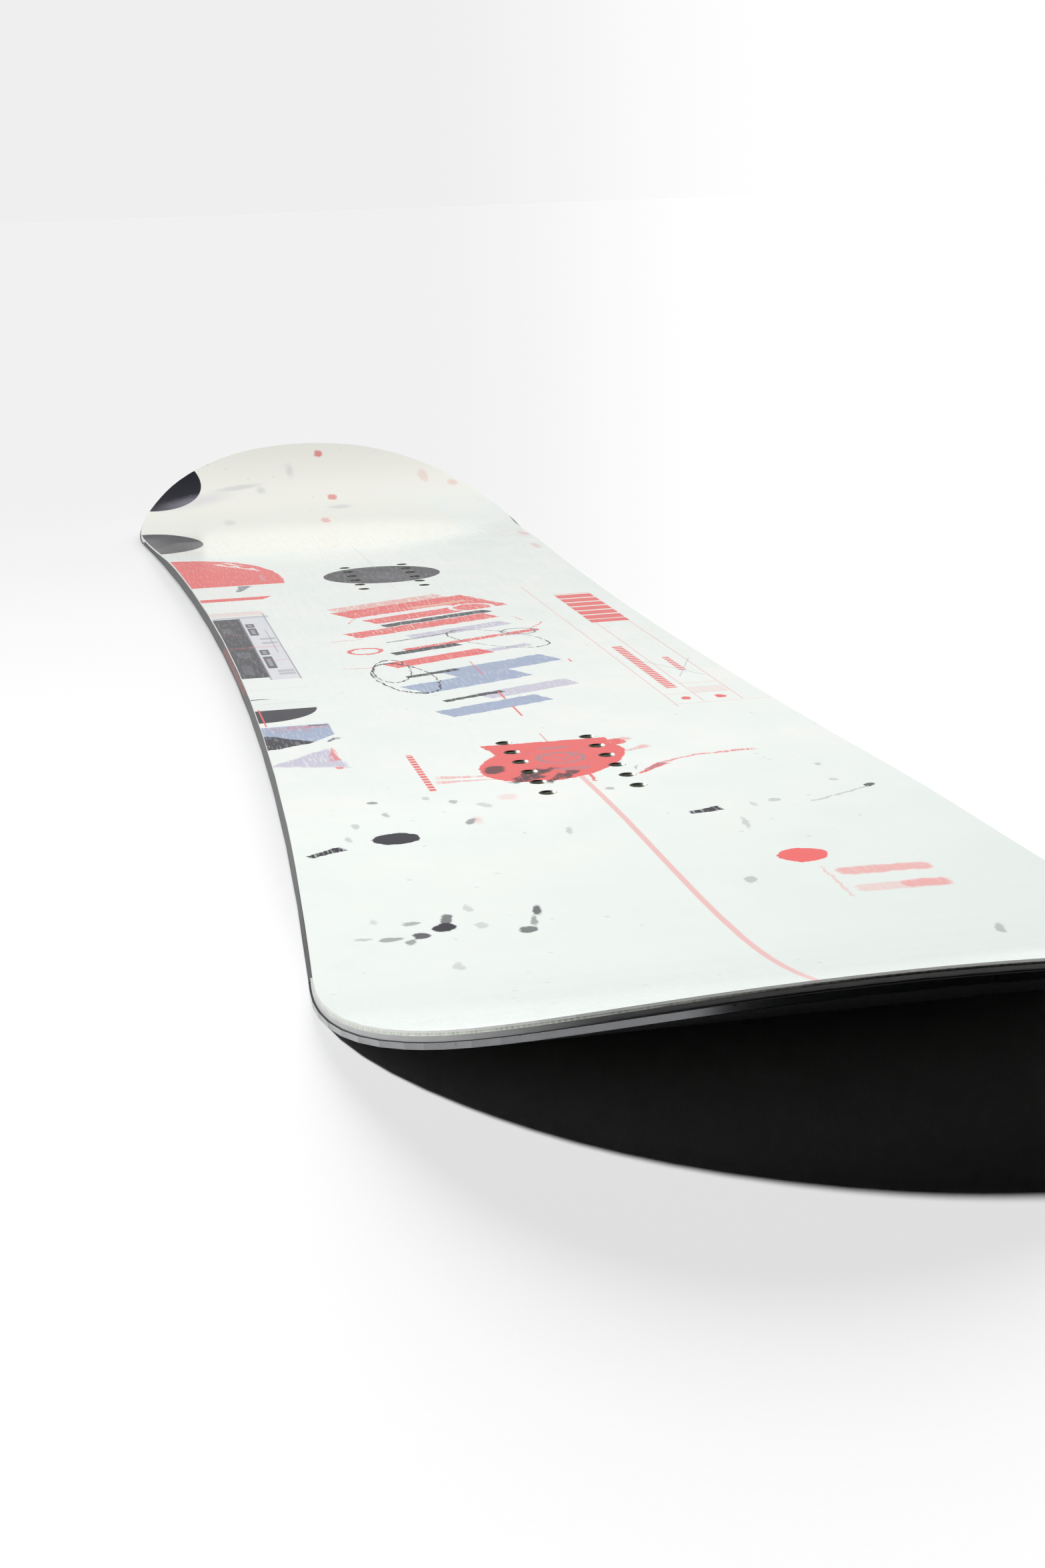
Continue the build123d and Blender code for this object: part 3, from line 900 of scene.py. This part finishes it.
def planed_wood(name, light, dark, ring_width, pores):
    """Planed hardwood strip: growth rings drawn out into long streaks along the board, with short
    pores between them."""
    material, tree = empty_material(name)
    rings = add(
        tree,
        "ShaderNodeTexNoise",
        {"Vector": place_in_mm(tree, (ring_width, 55 * ring_width, ring_width)), "Scale": 1.0, "Detail": 4.0},
    )
    colour = add(tree, "ShaderNodeValToRGB", {"Fac": rings.outputs["Fac"]})
    colour.color_ramp.elements[0].position = 0.3
    colour.color_ramp.elements[0].color = linear(dark)
    colour.color_ramp.elements[1].position = 0.7
    colour.color_ramp.elements[1].color = linear(light)
    pore = add(
        tree,
        "ShaderNodeTexNoise",
        {"Vector": place_in_mm(tree, (0.35, 6, 0.35)), "Scale": 1.0, "Detail": 1.0},
    )
    shader = add(
        tree,
        "ShaderNodeBsdfPrincipled",
        {
            "Base Color": colour.outputs[0],
            "Roughness": 0.6,
            "Normal": bump(tree, pore.outputs["Fac"], pores),
        },
    )
    finish_material(tree, shader)
    return material


def sanded_sidewall():
    """ABS strip, sanded to its bevel and wiped: charcoal with lengthwise sanding lines. A worn
    coral bar is printed in its upper half beside the waist, on the left side only."""
    material, tree = empty_material("sidewall_sanded_abs")
    place = place_in_mm(tree)
    sanding = add(
        tree,
        "ShaderNodeTexNoise",
        {"Vector": place_in_mm(tree, (0.3, 25, 0.3)), "Scale": 1.0, "Detail": 3.0, "Roughness": 0.65},
    )
    colour = add(tree, "ShaderNodeValToRGB", {"Fac": sanding.outputs["Fac"]})
    colour.color_ramp.elements[0].position = 0.3
    colour.color_ramp.elements[0].color = linear("2A2A2C")
    colour.color_ramp.elements[1].position = 0.75
    colour.color_ramp.elements[1].color = linear("3A3A3D")
    # the printed bar: 140 mm long and 3 mm high on the left wall, broken by wear
    parts = add(tree, "ShaderNodeSeparateXYZ", {0: place}).outputs
    cover = add(tree, "ShaderNodeMath", {0: parts["X"], 1: 0.0}, operation="LESS_THAN").outputs[0]
    for axis, middle, half in (("Y", -15.0, 70.0), ("Z", 7.2, 1.6)):
        off = add(tree, "ShaderNodeMath", {0: parts[axis], 1: middle}, operation="SUBTRACT")
        size = add(tree, "ShaderNodeMath", {0: off.outputs[0]}, operation="ABSOLUTE")
        inside = add(tree, "ShaderNodeMath", {0: size.outputs[0], 1: half}, operation="LESS_THAN")
        cover = add(tree, "ShaderNodeMath", {0: cover, 1: inside.outputs[0]}, operation="MULTIPLY").outputs[0]
    worn = add(
        tree,
        "ShaderNodeTexNoise",
        {"Vector": place_in_mm(tree, (1, 4, 1)), "Scale": 0.6, "Detail": 3.0},
    )
    kept = add(
        tree,
        "ShaderNodeMapRange",
        {"Value": worn.outputs["Fac"], "From Min": 0.36, "From Max": 0.6, "To Min": 0.2, "To Max": 0.75},
    )
    cover = add(tree, "ShaderNodeMath", {0: cover, 1: kept.outputs[0]}, operation="MULTIPLY").outputs[0]
    marked = add(
        tree, "ShaderNodeMix", {"Factor": cover, 6: colour.outputs[0], 7: linear("8E4038")}, data_type="RGBA"
    )
    shader = add(
        tree,
        "ShaderNodeBsdfPrincipled",
        {
            "Base Color": marked.outputs[2],
            "Roughness": 0.42,
            "Specular IOR Level": 0.25,
            "IOR": 1.53,
            "Normal": bump(tree, sanding.outputs["Fac"], 0.05),
        },
    )
    finish_material(tree, shader)
    return material


def moulded_spacer():
    """Natural ABS tip fill, trimmed with the board: pale grey plastic, faintly cloudy, with the
    trimming blade's fine lines along the rim."""
    material, tree = empty_material("spacer_trimmed_abs")
    cloud = add(tree, "ShaderNodeTexNoise", {"Vector": place_in_mm(tree), "Scale": 0.12, "Detail": 3.0})
    colour = add(tree, "ShaderNodeValToRGB", {"Fac": cloud.outputs["Fac"]})
    colour.color_ramp.elements[0].color = linear("B4B4B6")
    colour.color_ramp.elements[1].color = linear("CBCBCB")
    trim = add(
        tree, "ShaderNodeTexNoise", {"Vector": place_in_mm(tree, (12, 12, 0.25)), "Scale": 1.0, "Detail": 2.0}
    )
    shader = add(
        tree,
        "ShaderNodeBsdfPrincipled",
        {
            "Base Color": colour.outputs[0],
            "Roughness": 0.4,
            "IOR": 1.53,
            "Normal": bump(tree, trim.outputs["Fac"], 0.03),
        },
    )
    finish_material(tree, shader)
    return material


def turned_stainless():
    """Stainless steel, turned: bright, with the tool's rings 0.4 mm apart."""
    material, tree = empty_material("insert_turned_stainless")
    rings = add(
        tree, "ShaderNodeTexNoise", {"Vector": place_in_mm(tree, (4, 4, 0.2)), "Scale": 1.0, "Detail": 2.0}
    )
    tone = add(tree, "ShaderNodeValToRGB", {"Fac": rings.outputs["Fac"]})
    tone.color_ramp.elements[0].color = linear("A9A69F")
    tone.color_ramp.elements[1].color = linear("D2CFC6")
    shader = add(
        tree,
        "ShaderNodeBsdfPrincipled",
        {
            "Base Color": tone.outputs[0],
            "Metallic": 1.0,
            "Roughness": 0.3,
            "Normal": bump(tree, rings.outputs["Fac"], 0.01),
        },
    )
    finish_material(tree, shader)
    return material


def coat(node, material):
    """Gives a carried-over layer its finish."""
    node.data.materials.clear()
    node.data.materials.append(material)


def finish_layers(stainless):
    """Every layer of the frame gets its own finish."""
    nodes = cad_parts
    poplar = planed_wood("core_planed_poplar", "E2D2AE", "C9B48A", 1.6, 0.03)
    beech = planed_wood("core_planed_beech", "CFA77C", "B58A5E", 1.0, 0.06)
    steel = ground_steel()
    rubber = damping_rubber()
    glass = glass_laminate()
    sidewall = sanded_sidewall()
    spacer = moulded_spacer()
    starts = {
        "base": sintered_base(),
        "edge_": steel,
        "rubber_foil": rubber,
        "lower_glass": glass,
        "upper_glass": glass,
        "sidewall": sidewall,
        "nose_spacer": spacer,
        "tail_spacer": spacer,
        "inserts": stainless,
    }
    for name, node in nodes.items():
        if name.startswith("core_strip"):
            coat(node, beech if name.endswith(("_1", "_3")) else poplar)
        elif name != "topsheet":
            coat(node, next(found for start, found in starts.items() if name.startswith(start)))


# ---- studio ---------------------------------------------------------------------------------------
# The camera's place, over the foot of its stand.
FOOT = Vector((-0.2227, -1.3709, 0.2625))


def painted_light_to_the_right(tree, across):
    """0 on the left, where painted shade makes the studio greyer, to 1 on the right, where it is white."""
    return add(
        tree,
        "ShaderNodeMapRange",
        {"Value": across, "From Min": 0.15, "From Max": 0.3},
        interpolation_type="SMOOTHSTEP",
    ).outputs[0]


def paper_floor():
    """Matte white paper with a barely visible tooth, a shade greyer far back on the left: painted shade
    there, and painted light near the camera and on the right.
    """
    material, tree = empty_material("floor_matte_paper")
    tooth = add(tree, "ShaderNodeTexNoise", {"Vector": place_in_mm(tree), "Scale": 0.5, "Detail": 2.0})
    colour = add(tree, "ShaderNodeValToRGB", {"Fac": tooth.outputs["Fac"]})
    colour.color_ramp.elements[0].color = linear("EAEAEA")
    colour.color_ramp.elements[1].color = linear("ECECEC")
    # how near the open end of the sheet, by the camera's foot, and how far round to the right a place lies:
    # painted light that whitens the paper there
    place = add(tree, "ShaderNodeTexCoord").outputs["Object"]
    apart = add(
        tree,
        "ShaderNodeVectorMath",
        {0: place, 1: (FOOT.x, FOOT.y, 0)},
        operation="SUBTRACT",
    ).outputs[0]
    away = add(tree, "ShaderNodeVectorMath", {0: apart}, operation="LENGTH").outputs["Value"]
    near = add(
        tree,
        "ShaderNodeMapRange",
        {"Value": away, "From Min": 2.3, "From Max": 0.95},
        interpolation_type="SMOOTHSTEP",
    )
    way = add(tree, "ShaderNodeVectorMath", {0: apart}, operation="NORMALIZE").outputs[0]
    across = add(tree, "ShaderNodeSeparateXYZ", {0: way}).outputs["X"]
    light = add(
        tree,
        "ShaderNodeMath",
        {0: near.outputs[0], 1: painted_light_to_the_right(tree, across)},
        operation="MAXIMUM",
    )
    shade = add(
        tree,
        "ShaderNodeMix",
        {0: light.outputs[0], 6: linear("EEEEEE"), 7: (1, 1, 1, 1)},
        data_type="RGBA",
    )
    paper = add(
        tree,
        "ShaderNodeMix",
        {0: 1.0, 6: colour.outputs[0], 7: shade.outputs[2]},
        data_type="RGBA",
        blend_type="MULTIPLY",
    )
    shader = add(
        tree,
        "ShaderNodeBsdfPrincipled",
        {"Base Color": paper.outputs[2], "Roughness": 0.9, "Specular IOR Level": 0.0},
    )
    finish_material(tree, shader)
    return material


def lay_floor():
    """A wide round sheet of white paper under the board."""
    radius = 40.0
    mesh = bmesh.new()
    bmesh.ops.create_circle(mesh, cap_ends=True, segments=96, radius=radius)
    data = bpy.data.meshes.new("floor")
    mesh.to_mesh(data)
    mesh.free()
    floor = bpy.data.objects.new("floor", data)
    bpy.context.scene.collection.objects.link(floor)
    data.materials.append(paper_floor())
    floor.visible_diffuse = False


def aim(lamp, place, target):
    """Puts a lamp at a place, shining on the target."""
    away = Vector(target) - Vector(place)
    turn = away.to_track_quat("-Z", "Y").to_matrix().to_4x4()
    lamp.matrix_world = Matrix.Translation(place) @ turn


def hang_far_lamp(name, place, energy, angle):
    """A lamp far off in the direction of a place; the wider its angle, the softer its shadow."""
    data = bpy.data.lights.new(name, "SUN")
    data.energy = energy
    data.angle = radians(angle)
    lamp = bpy.data.objects.new(name, data)
    bpy.context.scene.collection.objects.link(lamp)
    aim(lamp, place, (0, 0, 0))
    return lamp


def light_studio(deck):
    """A small hard key lamp behind on the left, a broad low soft one behind on the right, and a weak
    one in front that is flagged off everything but the deck."""
    hang_far_lamp("key", (-1.0, 0.71, 1.0), 4.42, 5)
    soft = hang_far_lamp("soft", (0.4, 1.0, 0.38), 3.26, 36)
    soft.visible_glossy = False
    front = hang_far_lamp("front", (0.0, -1.0, 0.9), 1.26, 30)
    front.visible_glossy = False
    lit = bpy.data.collections.new("lit_from_the_front")
    lit.objects.link(deck)
    front.light_linking.receiver_collection = lit


def surround():
    """The room: pale where it is seen or mirrored, dark behind the camera, and nearly dark as a lamp."""
    world = bpy.data.worlds.new("studio")
    bpy.context.scene.world = world
    world.use_nodes = True
    tree = world.node_tree
    tree.nodes.clear()
    way = add(tree, "ShaderNodeTexCoord").outputs["Generated"]
    axes = add(tree, "ShaderNodeSeparateXYZ", {0: way}).outputs
    mirrored = add(tree, "ShaderNodeValToRGB", {"Fac": axes["Z"]})
    mirrored.color_ramp.elements[0].position = 0.08
    mirrored.color_ramp.elements[0].color = (0.4, 0.4, 0.4, 1)
    mirrored.color_ramp.elements[1].position = 0.9
    mirrored.color_ramp.elements[1].color = (0.1, 0.1, 0.1, 1)
    mirrored.color_ramp.elements.new(0.3).color = (0.3, 0.3, 0.3, 1)
    behind = add(
        tree,
        "ShaderNodeMapRange",
        {"Value": axes["Y"], "From Min": -0.2, "From Max": 0.4, "To Min": 0.04},
    )
    # painted shade: the backdrop seen past the board turns a shade greyer on the left
    wall = add(
        tree,
        "ShaderNodeMix",
        {0: painted_light_to_the_right(tree, axes["X"]), 6: linear("EFEFEF"), 7: (1, 1, 1, 1)},
        data_type="RGBA",
    )
    rays = add(tree, "ShaderNodeLightPath").outputs
    seen = add(tree, "ShaderNodeBackground", {"Color": wall.outputs[2], "Strength": 1.0})
    mirror = add(tree, "ShaderNodeBackground", {"Color": mirrored.outputs[0], "Strength": behind.outputs[0]})
    below = add(
        tree,
        "ShaderNodeMapRange",
        {"Value": axes["Z"], "From Min": 0.0, "From Max": -0.15, "To Min": 0.002, "To Max": 0.05},
    )
    lamp = add(tree, "ShaderNodeBackground", {"Color": linear("F4F6FF"), "Strength": below.outputs[0]})
    glossy = add(
        tree,
        "ShaderNodeMixShader",
        {0: rays["Is Diffuse Ray"], 1: mirror.outputs[0], 2: lamp.outputs[0]},
    )
    both = add(
        tree,
        "ShaderNodeMixShader",
        {0: rays["Is Camera Ray"], 1: glossy.outputs[0], 2: seen.outputs[0]},
    )
    add(tree, "ShaderNodeOutputWorld", {"Surface": both.outputs[0]})
    bpy.context.scene.view_settings.view_transform = "Standard"


def stand_camera():
    """Low behind the tail, turned a little to the right and tipped down along the board."""
    data = bpy.data.cameras.new("camera")
    data.lens = 56.71
    data.sensor_width = 36.0
    data.clip_start = 0.02
    data.clip_end = 200.0
    camera = bpy.data.objects.new("camera", data)
    bpy.context.scene.collection.objects.link(camera)
    turned = Matrix.Rotation(radians(-10.79), 4, "Z")
    tipped = Matrix.Rotation(radians(90 - 13.58), 4, "X")
    rolled = Matrix.Rotation(radians(-2.153), 4, "Z")
    camera.matrix_world = Matrix.Translation(FOOT) @ turned @ tipped @ rolled
    bpy.context.scene.camera = camera


stainless = turned_stainless()
finish_layers(stainless)
printed_deck = make_topsheet(stainless)
lay_floor()
light_studio(printed_deck)
surround()
stand_camera()
